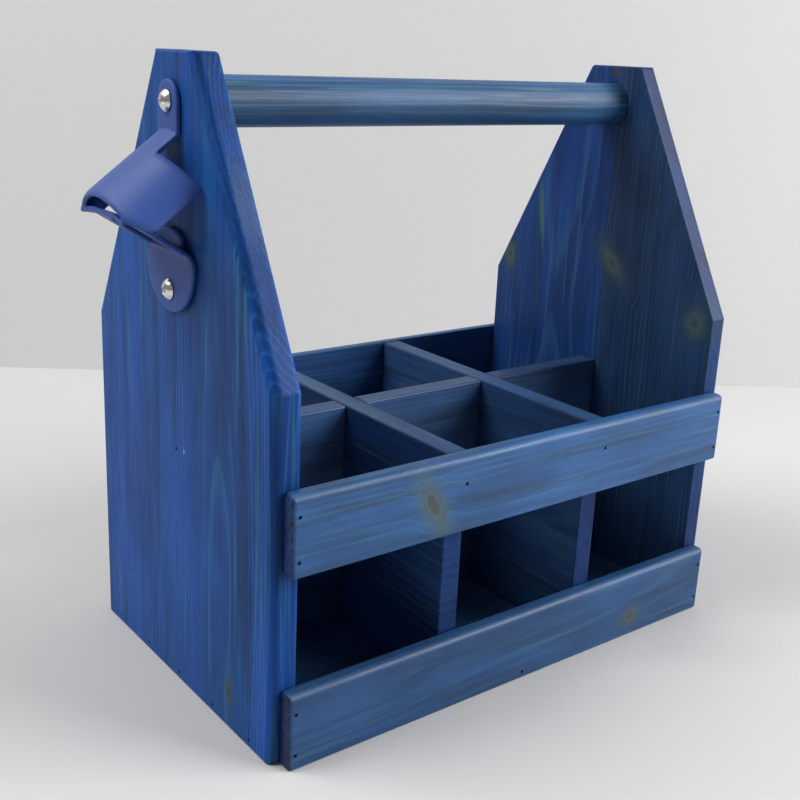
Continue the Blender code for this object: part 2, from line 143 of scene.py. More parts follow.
def add_rings(bm, rings, place=Matrix()):
    """Skin a stack of loops of equal length and close both ends."""
    loops = [[bm.verts.new(place @ Vector(point)) for point in ring] for ring in rings]
    count = len(loops[0])
    for low, high in zip(loops, loops[1:]):
        for k in range(count):
            ahead = (k + 1) % count
            bm.faces.new([low[k], low[ahead], high[ahead], high[k]])
    bm.faces.new(list(reversed(loops[0])))
    bm.faces.new(loops[-1])


def add_turned(bm, profile, sides, place=Matrix()):
    """Turn a profile of (radius, height) points about the frame's Z. Its ends lie on the axis."""
    rings = []
    for radius, height in profile:
        count = sides if radius else 1
        angles = [2 * math.pi * k / sides for k in range(count)]
        points = [Vector((radius * math.cos(a), radius * math.sin(a), height)) for a in angles]
        rings.append([bm.verts.new(place @ point) for point in points])
    for low, high in zip(rings, rings[1:]):
        for k in range(sides):
            corners = [low[k % len(low)], low[(k + 1) % len(low)]]
            corners += [high[(k + 1) % len(high)], high[k % len(high)]]
            bm.faces.new(list(dict.fromkeys(corners)))


def add_prism(bm, outline, depth, place=Matrix()):
    """Extrude a flat outline along the frame's Z, by a depth."""
    add_rings(bm, [[(u, v, height) for u, v in outline] for height in (0, depth)], place)


def add_thick_sheet(bm, rows, thickness):
    """A sheet through a grid of points, thickened evenly to both sides."""
    last_row, last_column = len(rows) - 1, len(rows[0]) - 1
    layers = []
    for side in (0.5, -0.5):
        layer = []
        for i, row in enumerate(rows):
            line = []
            for j, point in enumerate(row):
                along = rows[min(i + 1, last_row)][j] - rows[max(i - 1, 0)][j]
                across = row[min(j + 1, last_column)] - row[max(j - 1, 0)]
                normal = along.cross(across).normalized()
                line.append(bm.verts.new(point + normal * thickness * side))
            layer.append(line)
        layers.append(layer)
    top, bottom = layers
    for i in range(last_row):
        for j in range(last_column):
            bm.faces.new([top[i][j], top[i][j + 1], top[i + 1][j + 1], top[i + 1][j]])
            bm.faces.new([bottom[i][j], bottom[i + 1][j], bottom[i + 1][j + 1], bottom[i][j + 1]])
    for i in range(last_row):
        for j in (0, last_column):
            bm.faces.new([top[i][j], top[i + 1][j], bottom[i + 1][j], bottom[i][j]])
    for j in range(last_column):
        for i in (0, last_row):
            bm.faces.new([top[i][j], top[i][j + 1], bottom[i][j + 1], bottom[i][j]])


def make_piece(name, bm):
    """Turn a bmesh into an object at the origin, with its faces outwards."""
    bmesh.ops.remove_doubles(bm, verts=bm.verts, dist=0.001 * MM)
    bmesh.ops.recalc_face_normals(bm, faces=bm.faces)
    mesh = bpy.data.meshes.new(name)
    bm.to_mesh(mesh)
    bm.free()
    piece = bpy.data.objects.new(name, mesh)
    bpy.context.scene.collection.objects.link(piece)
    return piece


def build(name, add, *values):
    """A piece from one of the functions that add to a bmesh."""
    bm = bmesh.new()
    add(bm, *values)
    return make_piece(name, bm)


def bake_modifiers(piece):
    """Put the result of the modifiers into the mesh."""
    graph = bpy.context.evaluated_depsgraph_get()
    mesh = bpy.data.meshes.new_from_object(piece.evaluated_get(graph))
    piece.modifiers.clear()
    old = piece.data
    piece.data = mesh
    bpy.data.meshes.remove(old)


def carve(piece, tool):
    """Cut a tool out of a piece and throw the tool away."""
    cut = piece.modifiers.new("carve", "BOOLEAN")
    cut.operation = "DIFFERENCE"
    cut.solver = "EXACT"
    cut.object = tool
    bake_modifiers(piece)
    bpy.data.objects.remove(tool)


def smooth_shade(piece, degrees=32):
    """Smooth shading with creases at sharp edges and flat faces kept flat."""
    for polygon in piece.data.polygons:
        polygon.use_smooth = True
    piece.data.set_sharp_from_angle(angle=math.radians(degrees))
    even = piece.modifiers.new("even_faces", "WEIGHTED_NORMAL")
    even.keep_sharp = True
    even.weight = 80


def finish_piece(piece, material, slot, *nodes):
    """Give a piece its material and let it stand for its CAD nodes."""
    piece.data.materials.clear()
    piece.data.materials.append(material)
    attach(piece, "root")
    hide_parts(*nodes)


# Materials


class Wire:
    """The output of a node. Sums on it add Math nodes."""

    def __init__(self, finish, socket):
        self.finish = finish
        self.socket = socket

    def math(self, operation, *values):
        """A Math node on some values, or on this one alone."""
        inputs = dict(enumerate(values or [self]))
        return self.finish.node("ShaderNodeMath", {"operation": operation}, inputs)

    def __add__(self, other):
        return self.math("ADD", self, other)

    def __radd__(self, other):
        return self.math("ADD", other, self)

    def __sub__(self, other):
        return self.math("SUBTRACT", self, other)

    def __rsub__(self, other):
        return self.math("SUBTRACT", other, self)

    def __mul__(self, other):
        return self.math("MULTIPLY", self, other)

    def __rmul__(self, other):
        return self.math("MULTIPLY", other, self)

    def __truediv__(self, other):
        return self.math("DIVIDE", self, other)


class Finish:
    """A material while it is being put together from nodes."""

    def __init__(self, name):
        self.material = bpy.data.materials.new(name)
        self.material.use_nodes = True
        self.tree = self.material.node_tree
        self.shader = self.tree.nodes["Principled BSDF"]

    def join(self, socket, value):
        if isinstance(value, Wire):
            self.tree.links.new(value.socket, socket)
        else:
            socket.default_value = value

    def node(self, kind, settings=None, inputs=None, output=0):
        """Add a node. Its settings come first, and then the values or links of its sockets."""
        node = self.tree.nodes.new(kind)
        for key, value in (settings or {}).items():
            setattr(node, key, value)
        for key, value in (inputs or {}).items():
            self.join(node.inputs[key], value)
        return Wire(self, node.outputs[output])

    def place(self):
        """The place on the piece in millimetres, as three numbers."""
        spot = self.node("ShaderNodeTexCoord", output="Object")
        spot = self.node("ShaderNodeVectorMath", {"operation": "SCALE"}, {0: spot, "Scale": 1 / MM})
        return [self.node("ShaderNodeSeparateXYZ", None, {0: spot}, k) for k in range(3)]

    def point(self, x, y, z):
        return self.node("ShaderNodeCombineXYZ", None, {0: x, 1: y, 2: z})

    def noise(self, spot, scale, detail=2.0, roughness=0.5):
        """Soft noise from 0 to 1."""
        values = {"Vector": spot, "Scale": scale, "Detail": detail, "Roughness": roughness}
        return self.node("ShaderNodeTexNoise", None, values)

    def ramp(self, value, low, high, at_low=0.0, at_high=1.0):
        """A smooth step from at_low to at_high as value goes from low to high."""
        settings = {"interpolation_type": "SMOOTHSTEP"}
        values = {"Value": value, "From Min": low, "From Max": high, "To Min": at_low, "To Max": at_high}
        return self.node("ShaderNodeMapRange", settings, values)

    def fade(self, value, low, high):
        """A smooth step down from 1 to 0."""
        return self.ramp(value, low, high, 1.0, 0.0)

    def blend(self, kind, share, low, high):
        """A Mix node on two colours, each of them a link or three numbers."""
        colours = [colour if isinstance(colour, Wire) else (*colour, 1) for colour in (low, high)]
        settings = {"data_type": "RGBA", "blend_type": kind}
        return self.node("ShaderNodeMix", settings, {0: share, 6: colours[0], 7: colours[1]}, 2)

    def mix(self, share, low, high):
        """A blend of two colours."""
        return self.blend("MIX", share, low, high)

    def shade(self, share, colour, factor):
        """A colour multiplied by another, by a share."""
        return self.blend("MULTIPLY", share, colour, factor)

    def bump(self, height, distance, strength):
        values = {"Height": height, "Distance": distance, "Strength": strength}
        self.join(self.shader.inputs["Normal"], self.node("ShaderNodeBump", None, values))

    def set(self, **values):
        """Set the shader's sockets, named with underscores for spaces."""
        for key, value in values.items():
            self.join(self.shader.inputs[key.replace("_", " ").title().replace("Ior", "IOR")], value)


def times(colour, factor):
    """A colour multiplied by a number or by another colour."""
    factors = factor if isinstance(factor, tuple) else (factor,) * 3
    return tuple(c * f for c, f in zip(colour, factors))


# Which object axis runs along the grain, and which two run across it
AXIS_ORDER = {"X": (0, 1, 2), "Y": (1, 0, 2), "Z": (2, 0, 1)}
# Multiplies the stain of the pieces inside the carrier: a darker, greyer copy of it, painted shade for the
# dim compartments
INSIDE_SHADE_TINT = (0.92, 0.68, 0.62)

# Noise in the wood: its scale across the grain and along it, per mm, its detail and its roughness
SWAY = (0.011, 0.0042, 1.0, 0.5)
LEAN = (0.013, 0.004, 1.0, 0.5)
RIPPLE = (0.09, 0.02, 2.0, 0.5)
FIBRE = (1.5, 0.03, 3.0, 0.6)
PORES = (6.0, 0.22, 1.0, 0.5)
BLOTCH = (0.035, 0.012, 3.0, 0.55)
SAP = (0.42, 0.011, 1.5, 0.5)
GRIME = (0.13, 0.009, 4.0, 0.65)
SPECKLE = (0.5, 0.3, 3.0, 0.7)
KNOT_WOBBLE = (0.3, 0.2, 2.0, 0.5)

WANDER = 16.0  # how far the rings wander over a board, in mm
RIPPLE_REACH = 1.6  # how far they ripple over a short way, in mm
KNOT_RINGS = 11.0
SOFT_EDGE = 1.5  # half the width of a dull band's soft edge, in mm


class Pine(Finish):
    """Stained pine while it is being put together. Its places are in mm along and across the grain."""

    def __init__(self, name, wood, grain, tint, seed, face):
        super().__init__(name)
        self.wood, self.tint, self.seed = wood, tint, seed
        place = self.place()
        along, *across = AXIS_ORDER[grain]
        self.along, self.across = place[along], [place[k] for k in across]
        self.beside = self.across[face]
        self.face = face
        self.sway = self.figure(SWAY, 0) - 0.5
        self.ripple = self.figure(RIPPLE, 0) - 0.5
        self.fibre = self.figure(FIBRE, 2)
        self.pores = self.ramp(self.figure(PORES), 0.6, 0.78)
        self.early = times(wood.early_colour, tint)
        self.deep = times(self.early, 0.62)

    def figure(self, kind, seeded=None):
        """One kind of noise. seeded says which of its three places the seed moves."""
        scale_across, scale_along, detail, roughness = kind
        spot = [place * scale_across for place in self.across] + [self.along * scale_along]
        if seeded is not None:
            spot[seeded] = spot[seeded] + self.seed
        return self.noise(self.point(*spot), 1.0, detail, roughness)

    def between(self, value, rise, fall):
        """1 between a rise and a fall, each given by its two ends, and 0 outside them."""
        return self.ramp(value, *rise) * self.fade(value, *fall)

    def bend_round(self, knots, places):
        """Bend the rings round the knots. Gives masks for their hearts, halos and bark, and their rings."""
        core, halo, bark, eyes = 0.0, 0.0, 0.0, 0.0
        for spot_across, spot_along, half_width, half_length, slant in knots:
            step = self.along - spot_along
            beside = self.beside - spot_across - step * slant
            near = (beside * beside / half_width**2 + step * step / half_length**2).math("SQRT")
            near = near + (self.figure(KNOT_WOBBLE) - 0.5) * 0.5
            places[self.face] = places[self.face] - beside * self.ramp(near, 0.6, 3.6, 0.6, 0.0)
            core = self.fade(near, 0.2, 1.4) + core
            halo = self.fade(near, 0.6, 2.6) + halo
            bark = self.fade(near, 0.0, 0.5) + bark
            eyes = (near * KNOT_RINGS).math("SINE") * 0.3 + 0.5 + eyes
        return core, halo, bark, eyes

    def grain_lines(self, places, pith, ring):
        """The lines of hard wood at the end of each ring, broken up by the fibres."""
        out = [place - middle for place, middle in zip(places, pith)]
        reach = (out[0] * out[0] + out[1] * out[1]).math("SQRT")
        phase = (reach / ring).math("FRACT")
        strong = self.noise(self.point(reach * 0.21, self.seed, 0.0), 1.0, 1.0)
        late = self.between(phase, (0.5, 0.9), (0.93, 1.0)) * self.ramp(strong, 0.3, 0.62, 0.15, 1.0)
        return late * self.ramp(self.fibre, 0.25, 0.75, 0.3, 1.0)

    def stain(self, line, bold):
        """The stain on clear wood: blotches, grain lines, fibres, pores, sap streaks and grime."""
        wood = self.wood
        pale = times(wood.late_colour, self.tint)
        colour = self.mix(self.ramp(self.figure(BLOTCH, 1), 0.3, 0.72), self.deep, self.early)
        colour = self.mix(line * (wood.contrast * bold), colour, pale)
        colour = self.mix(self.ramp(self.fibre, 0.58, 0.8) * 0.35, colour, pale)
        colour = self.mix(self.pores * 0.45, colour, self.deep)
        sap = self.ramp(self.figure(SAP, 1), 0.62, 0.74)
        colour = self.mix(sap * (0.5 * bold), colour, times(wood.sap_colour, self.tint))
        return self.shade(self.ramp(self.figure(GRIME, 1), 0.44, 0.7), colour, wood.grime_shade)

    def shade_face(self, colour, edges, dull):
        """Darken a board between its edges' arrises, and tint a band of its face."""
        within = 0.0
        if edges:
            low, high = edges
            within = self.between(self.across[0], (low + 0.5, low + 2.2), (high - 2.2, high - 0.5))
            colour = self.shade(within, colour, self.wood.edge_shade)
        if dull:
            low, high, factor = dull
            place = self.beside + (self.sway + self.ripple) * 4.0
            rise, fall = ((middle - SOFT_EDGE, middle + SOFT_EDGE) for middle in (low, high))
            colour = self.shade(self.between(place, rise, fall) * (1 - within), colour, factor)
        return colour

    def shade_ends(self, colour, place, fray):
        """Darken the end grain, and speckle it by as much as it is frayed."""
        close = self.ramp(self.along.math("ABSOLUTE"), place - 0.9, place - 0.2)
        colour = self.shade(close, colour, self.wood.end_shade)
        speckle = self.ramp(self.figure(SPECKLE, 2), 0.46, 0.6)
        return self.mix(close * speckle * fray, colour, times(self.deep, 0.15))

    def add_mark(self, colour, spot_across, spot_along, half_width, half_length, slant, tone):
        """A worn or resinous mark with a ragged outline."""
        step = (self.along - spot_along) / half_length
        beside = (self.beside - spot_across - (self.along - spot_along) * slant) / half_width
        near = (beside * beside + step * step).math("SQRT") + (self.fibre - 0.5) * 1.2
        return self.mix(self.ramp(near, 0.2, 1.0, 0.75, 0.0), colour, tone)

    def paint_knots(self, colour, core, halo, bark, eyes):
        """Colour the knots over the stain."""
        wood = self.wood
        colour = self.mix(halo * 0.62, colour, times(wood.halo_colour, self.tint))
        colour = self.mix(core * 0.85, colour, self.mix(eyes, wood.knot_colour, wood.halo_colour))
        return self.mix(bark * 0.5, colour, times(wood.knot_colour, 0.4))


def stained_pine(
    name, wood, grain, pith, ring, knots=(), tint=(1.0, 1.0, 1.0), seed=0.0, face=1,
    bold=1.0, sheen=1.0, dull=None, edges=None, ends=None, marks=(),
):
    """Stained pine. The grain runs along one axis, round a pith at two places across it, in mm.

    ring is the width of a growth ring in mm, tint multiplies the stain and seed moves the noise.
    face says which of the two axes across the grain lies in the board's broad face.
    A knot has a place across, a place along, a half width, a half length and a slant.
    bold strengthens the grain lines, and sheen the reflections.
    dull is a band of the face: its two edges, and what multiplies the stain in it.
    edges is the board's inner and outer face, when its edges are darker.
    ends is how far along the end grain lies, and how frayed it is.
    A mark has a knot's five numbers and a colour.
    """
    pine = Pine(name, wood, grain, tint, seed, face)
    lean = pine.figure(LEAN, 1) - 0.5
    places = [pine.across[0] + pine.sway * WANDER]
    places.append(pine.across[1] + lean * WANDER + pine.ripple * RIPPLE_REACH)
    knot_masks = pine.bend_round(knots, places)
    line = pine.grain_lines(places, pith, ring)
    colour = pine.shade_face(pine.stain(line, bold), edges, dull)
    if ends:
        colour = pine.shade_ends(colour, *ends)
    for mark in marks:
        colour = pine.add_mark(colour, *mark)
    if knots:
        colour = pine.paint_knots(colour, *knot_masks)
    pine.bump(line * 0.5 + pine.fibre * 0.5 - pine.pores * 0.4, wood.relief * MM, 0.6)
    dry, polished = wood.roughness + 0.08, wood.roughness - 0.06
    pine.set(base_color=colour, roughness=pine.ramp(pine.fibre, 0.2, 0.8, dry, polished))
    pine.set(specular_ior_level=wood.gloss * sheen)
    return pine.material


def powder_paint(name, paint):
    """Satin powder paint with a faint orange peel."""
    finish = Finish(name)
    spot = finish.point(*finish.place())
    cloud = finish.noise(spot, 0.09)
    finish.bump(finish.noise(spot, 1.1), 0.035 * MM, 0.5)
    rough = finish.ramp(cloud, 0.3, 0.7, paint.roughness, paint.roughness + 0.07)
    finish.set(base_color=finish.mix(cloud, times(paint.colour, 0.86), paint.colour), roughness=rough)
    finish.set(specular_ior_level=0.26)
    return finish.material


def plated_steel(name, metal):
    """Bright plating with fine wear and dust in its scratches."""
    finish = Finish(name)
    wear = finish.noise(finish.point(*finish.place()), 1.6, 4.0, 0.6)
    dusty = finish.ramp(wear, 0.45, 0.75)
    colour = finish.mix(dusty, metal.plate_colour, times(metal.plate_colour, 0.6))
    finish.bump(wear, 0.02 * MM, 0.4)
    finish.set(base_color=colour, metallic=1.0, roughness=finish.ramp(wear, 0.3, 0.7, 0.14, 0.3))
    return finish.material


def dark_steel(name, metal):
    """Nail steel, stained along with the wood round it."""
    finish = Finish(name)
    wear = finish.noise(finish.point(*finish.place()), 2.4, 3.0)
    colour = finish.mix(wear, metal.nail_colour, times(metal.nail_colour, 2.2))
    finish.bump(wear, 0.03 * MM, 0.5)
    finish.set(base_color=colour, metallic=0.6, roughness=finish.ramp(wear, 0.3, 0.7, 0.4, 0.6))
    return finish.material


# Settings


def colour_property(name, description, default):
    return bpy.props.FloatVectorProperty(
        name=name, description=description, default=default, subtype="COLOR", min=0, max=1
    )


def length_property(name, description, default):
    return bpy.props.FloatProperty(
        name=name, description=description, default=default, subtype="DISTANCE", unit="LENGTH", min=0
    )


def share_property(name, description, default, low=0.0):
    return bpy.props.FloatProperty(name=name, description=description, default=default, min=low, max=1)


def power_property(name, description, default):
    return bpy.props.FloatProperty(
        name=name, description=description, default=default, unit="POWER", min=0
    )


class CarrierWoodSettings(bpy.types.PropertyGroup):
    """Sizes and stain of the pine pieces."""

    shoulder_height: length_property("Shoulder height", "Where an end board starts to narrow", 0.1505)
    top_width: length_property("Top width", "Width of an end board's flat top", 0.032)
    board_round: length_property("Board rounding", "Rounding of an end board's outer edges", 0.004)
    slat_round: length_property("Slat rounding", "Rounding of a slat's top outer edge", 0.003)
    small_round: length_property("Small rounding", "Rounding of the sawn edges", 0.0009)
    early_colour: colour_property("Stain", "Colour of the stained soft wood", (0.024, 0.092, 0.27))
    late_colour: colour_property("Grain lines", "Colour of the stained hard grain", (0.06, 0.19, 0.3))
    knot_colour: colour_property("Knot", "Colour of a knot's heart", (0.035, 0.028, 0.02))
    halo_colour: colour_property("Knot halo", "Colour of the wood round a knot", (0.06, 0.10, 0.10))
    sap_colour: colour_property("Sap streaks", "Colour of streaks that took less stain", (0.075, 0.2, 0.22))
    grime_shade: colour_property("Grime shade", "Multiplies the stain in dirty streaks", (0.75, 0.66, 0.58))
    edge_shade: colour_property("Edge shade", "Multiplies the stain on boards' edges", (0.5, 0.56, 0.58))
    end_shade: colour_property("End grain shade", "Multiplies the stain on end grain", (0.2, 0.42, 0.72))
    roughness: share_property("Roughness", "Roughness of the satin finish", 0.42, 0.05)
    gloss: share_property("Gloss", "Strength of the reflections", 0.24)
    contrast: share_property("Grain contrast", "How far the grain lines stand out", 0.6)
    relief: share_property("Relief", "Depth of the raised grain, in mm", 0.09)


class CarrierOpenerSettings(bpy.types.PropertyGroup):
    """Sizes and paint of the bottle opener."""

    sheet: length_property("Sheet", "Thickness of the sheet", 0.0019)
    tab_radius: length_property("Tab radius", "Half the width of the upper tab", 0.008)
    tab_drop: length_property("Tab drop", "From the upper screw down to the first bend", 0.0105)
    slope: bpy.props.FloatProperty(
        name="Slope",
        description="Slope of the hood",
        default=math.radians(37),
        subtype="ANGLE",
        unit="ROTATION",
    )
    hood_radius: length_property("Hood radius", "Radius of the hood's arch", 0.03)
    hood_half_width: length_property("Hood half width", "Half the width of the hood", 0.0266)
    hood_corner: length_property("Hood corner", "Rounding of the hood's lower corners", 0.007)
    neck_half_width: length_property("Neck half width", "Half the width of the neck", 0.008)
    neck_length: length_property("Neck length", "From the first bend to the hood", 0.0108)
    hood_length: length_property("Hood length", "Length of the hood along its slope", 0.0286)
    plate_radius: length_property("Plate radius", "Radius of the lower plate", 0.0198)
    plate_below: length_property("Plate below screw", "From the lower plate's edge up to its screw", 0.009)
    leg_above: length_property("Leg bend", "From the lower screw up to the leg's bend", 0.0155)
    leg_start_half: length_property("Leg half width at the wall", "Half the leg's width at the wall", 0.0145)
    leg_end_half: length_property("Leg half width at the lip", "Half the leg's width at the lip", 0.0193)
    turn_up: length_property("Rim turn", "How far the middle of the leg's outer rim turns up", 0.0016)
    lip_bow: length_property("Lip bow", "How far the lip curves back in its middle", 0.0019)
    edge_roll: length_property("Edge roll", "How far the hood's edges turn down", 0.0009)
    mouth_half_width: length_property("Mouth half width", "Half the width of the mouth", 0.011)
    mouth_rim: length_property("Mouth rim", "Width of the strip outside the mouth", 0.0045)
    colour: colour_property("Paint", "Colour of the powder paint", (0.034, 0.082, 0.31))
    roughness: share_property("Roughness", "Roughness of the paint", 0.44, 0.05)


class CarrierMetalSettings(bpy.types.PropertyGroup):
    """Sizes and finish of the screws and nails."""

    head_radius: length_property("Head radius", "Radius of a domed screw head", 0.0042)
    shank_radius: length_property("Shank radius", "Radius of a screw's root", 0.0014)
    thread: length_property("Thread", "Height of a screw's thread", 0.0003)
    pitch: length_property("Pitch", "From one turn of the thread to the next", 0.0014)
    plate_colour: colour_property("Plating", "Colour of the screws' plating", (0.78, 0.77, 0.74))
    nail_colour: colour_property("Nail", "Colour of the nail heads", (0.018, 0.03, 0.06))


class CarrierStageSettings(bpy.types.PropertyGroup):
    """The table, the wall behind it and the light."""

    table_colour: colour_property("Table", "Colour of the table", (0.52, 0.52, 0.524))
    wall_colour: colour_property("Wall", "Colour of the wall", (0.6, 0.6, 0.6))
    key: power_property("Left light", "Power of the light behind on the left", 22.0)
    front: power_property("Front light", "Power of the light in front on the right", 59.0)
    sky: share_property("Room light", "Strength of the light from the room", 0.22)


# Fastenings


NAILS = sorted(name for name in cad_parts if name.startswith("nail_"))
SCREWS = ("opener_upper_screw", "opener_lower_screw", "right_handle_screw")


def driven(node):
    """Where a fastening's outer end lies, and the direction in which it was driven."""
    low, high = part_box(node)
    size = high - low
    axis = max(range(3), key=lambda k: size[k])
    middle = (low + high) / 2
    inward = Vector((0, 0, 0))
    inward[axis] = -math.copysign(1, middle[axis])
    return middle - inward * size[axis] / 2, inward, size[axis]


def along_axis(start, direction):
    """A frame at start with its Z along a direction that is square to Z."""
    return placed(start, Z_AXIS, direction.cross(Z_AXIS))


PAST_FACE = 3 * MM  # how far a tool starts outside the wood
SPARE = 0.3 * MM  # how much longer a hole is than its fastening
SCREW_HOLE_RADIUS = 2 * MM
NAIL_HEAD_RADIUS = 0.7 * MM
NAIL_SHANK_RADIUS = 0.52 * MM
COUNTERSINK_DEPTH = 2.5 * MM
DOME_HEIGHT = 2.25 * MM


def add_bore(bm, node):
    """The hole that a fastening sits in."""
    start, inward, length = driven(node)
    hole = SCREW_HOLE_RADIUS
    if node in NAILS:
        profile = [(0, -PAST_FACE), (0.84 * MM, -PAST_FACE), (0.76 * MM, 0.9 * MM), (0.74 * MM, 1.1 * MM)]
        hole = 0.8 * MM
    elif node == "right_handle_screw":
        profile = [(0, -PAST_FACE), (4.7 * MM, -PAST_FACE), (4.7 * MM, 0.4 * MM), (hole, 3 * MM)]
    else:
        profile = [(0, 0), (hole, 0)]
    profile += [(hole, length + SPARE), (0, length + SPARE)]
    add_turned(bm, profile, 20, along_axis(start, inward))


def bore_fastenings(piece):
    """Cut every fastening's hole that reaches a piece."""
    low = [min(v.co[k] for v in piece.data.vertices) for k in range(3)]
    high = [max(v.co[k] for v in piece.data.vertices) for k in range(3)]
    bm = bmesh.new()
    for node in (*NAILS, *SCREWS):
        near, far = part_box(node)
        if all(near[k] < high[k] and far[k] > low[k] for k in range(3)):
            add_bore(bm, node)
    if bm.verts:
        carve(piece, make_piece("bores", bm))
    else:
        bm.free()


def add_thread(bm, metal, start, end, place):
    """A threaded rod with a point at its far end."""
    sides, rows_a_turn = 20, 6
    rings = []
    rows = int((end - start) / metal.pitch * rows_a_turn)
    for row in range(rows + 1):
        z = start + (end - start) * row / rows
        taper = min(1, (end - z) / (4 * MM) + 0.05)
        ring = []
        for k in range(sides):
            turn = k / sides
            wave = abs(((z / metal.pitch - turn) % 1) * 2 - 1)
            radius = (metal.shank_radius + metal.thread * max(0, 1 - 2.2 * wave)) * taper
            angle = 2 * math.pi * turn
            ring.append((radius * math.cos(angle), radius * math.sin(angle), z))
        rings.append(ring)
    add_rings(bm, rings, place)


def add_cross(bm, place, width, depth):
    """The tool for a cross-shaped driver recess."""
    rings = []
    for share, z in ((1.0, -1 * MM), (0.9, depth * 0.3), (0.4, depth)):
        half, thin = width * share, width * 0.26 * share
        arm = [(half, -thin), (half, thin), (thin, thin)]
        ring = []
        for turn in range(4):
            spin = Matrix.Rotation(math.pi / 2 * turn + 0.35, 2)
            ring += [(*(spin @ Vector(point)), z) for point in arm]
        rings.append(ring)
    add_rings(bm, rings, place)


def make_screw(node, metal, material):
    """A domed or countersunk screw with a cross recess and a thread."""
    start, inward, length = driven(node)
    place = along_axis(start, inward)
    head, shank = metal.head_radius, metal.shank_radius
    if node == "right_handle_screw":
        profile = [(0, 0.1 * MM), (head * 0.8, 0.05 * MM), (head, 0.35 * MM)]
        profile += [(shank, COUNTERSINK_DEPTH), (0, COUNTERSINK_DEPTH)]
        neck = COUNTERSINK_DEPTH
    else:
        sphere = (head**2 + DOME_HEIGHT**2) / (2 * DOME_HEIGHT)
        lean = math.asin(head / sphere)
        angles = [lean * k / 8 for k in range(9)]
        profile = [(sphere * math.sin(angle), sphere * (1 - math.cos(angle))) for angle in angles]
        under = DOME_HEIGHT + 0.12 * MM
        profile += [(head * 0.98, under), (shank, under), (0, under)]
        neck = DOME_HEIGHT
    screw = build(node + "_finished", add_turned, profile, 40, place)
    carve(screw, build("recess", add_cross, place, head * 0.52, 1.5 * MM))
    bm = bmesh.new()
    bm.from_mesh(screw.data)
    add_thread(bm, metal, neck, length - 0.1 * MM, place)
    bm.to_mesh(screw.data)
    bm.free()
    smooth_shade(screw, 40)
    finish_piece(screw, material, "screw_plating", node)


def make_nail(node, material):
    """A brad with a small head, sunk in the wood."""
    start, inward, length = driven(node)
    head, shank = NAIL_HEAD_RADIUS, NAIL_SHANK_RADIUS
    profile = [(0, 0.02 * MM), (0.55 * MM, 0.02 * MM), (head, 0.14 * MM), (head, 0.5 * MM)]
    profile += [(shank, 0.7 * MM), (shank, length - 1.7 * MM)]
    profile += [(0.1 * MM, length - 0.1 * MM), (0, length - 0.05 * MM)]
    nail = build(node + "_finished", add_turned, profile, 16, along_axis(start, inward))
    smooth_shade(nail, 40)
    finish_piece(nail, material, "nail_steel", node)


# Wooden pieces


BOARD_CORNER = 2.6 * MM
SLAT_CORNER = 1.6 * MM
FLOOR_CORNER = 0.6 * MM
DIVIDER_CORNER = 0.8 * MM
SOCKET_ROOM = 0.25 * MM
LAP_ROOM = 0.4 * MM
DOWEL_ARRIS = 0.5 * MM


def finish_wood(piece, material, node):
    """Bore a wooden piece for its fastenings and finish it."""
    bore_fastenings(piece)
    smooth_shade(piece)
    finish_piece(piece, material, "stained_pine", node)


def make_board(node, wood, side, material):
    """An end board, narrowing from its shoulders to its top, with a socket for the handle."""
    low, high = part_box(node)
    inner_x = high.x if side < 0 else low.x
    half, top, height = (high.y - low.y) / 2, wood.top_width / 2, high.z
    outline = [(-half, 0), (half, 0), (half, wood.shoulder_height), (top, height)]
    outline += [(-top, height), (-half, wood.shoulder_height)]
    soft, sharp = wood.board_round, wood.small_round
    place = placed(Vector((inner_x, 0, 0)), Y_AXIS * side, Z_AXIS)
    outer = [sharp, soft, soft, sharp * 1.5, soft, soft]
    slab = (outline, high.x - low.x, place, outer, sharp, BOARD_CORNER, 8)
    board = build(node + "_finished", add_rounded_slab, *slab)
    near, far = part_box("handle_dowel")
    end = near.x if side < 0 else far.x
    radius = (far.z - near.z) / 2 + SOCKET_ROOM
    start = Vector((inner_x - side * 2 * MM, 0, (near.z + far.z) / 2))
    depth = abs(end - start.x) + SPARE
    profile = [(0, 0), (radius, 0), (radius, depth), (0, depth)]
    carve(board, build("socket", add_turned, profile, 72, along_axis(start, X_AXIS * side)))
    finish_wood(board, material, node)


def make_slat(node, wood, material):
    """A slat along one long side, with its outer edges rounded by hand."""
    low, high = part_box(node)
    side = math.copysign(1, low.y)
    inner_y = high.y if side < 0 else low.y
    middle, half = (low.x + high.x) / 2, (high.x - low.x) / 2
    outline = rectangle(-half, half, low.z, high.z)
    place = placed(Vector((middle, inner_y, 0)), X_AXIS * -side, Z_AXIS)
    ends = wood.slat_round * 0.6
    outer = [wood.small_round * 1.3, ends, wood.slat_round, ends]
    slab = (outline, high.y - low.y, place, outer, wood.small_round * 0.8, SLAT_CORNER, 7)
    finish_wood(build(node + "_finished", add_rounded_slab, *slab), material, node)


def make_floor(wood, material):
    low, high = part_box("bottom_board")
    outline = rectangle(low.x, high.x, low.y, high.y)
    sharp = wood.small_round * 0.7
    place = placed(Vector((0, 0, low.z)), X_AXIS, Y_AXIS)
    slab = (outline, high.z - low.z, place, [sharp] * 4, sharp, FLOOR_CORNER, 3)
    finish_wood(build("bottom_board_finished", add_rounded_slab, *slab), material, "bottom_board")


def notch_for(node, axis):
    """The notch that one divider needs in another: its middle and half its width."""
    low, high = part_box(node)
    return (low[axis] + high[axis]) / 2, (high[axis] - low[axis]) / 2 + LAP_ROOM


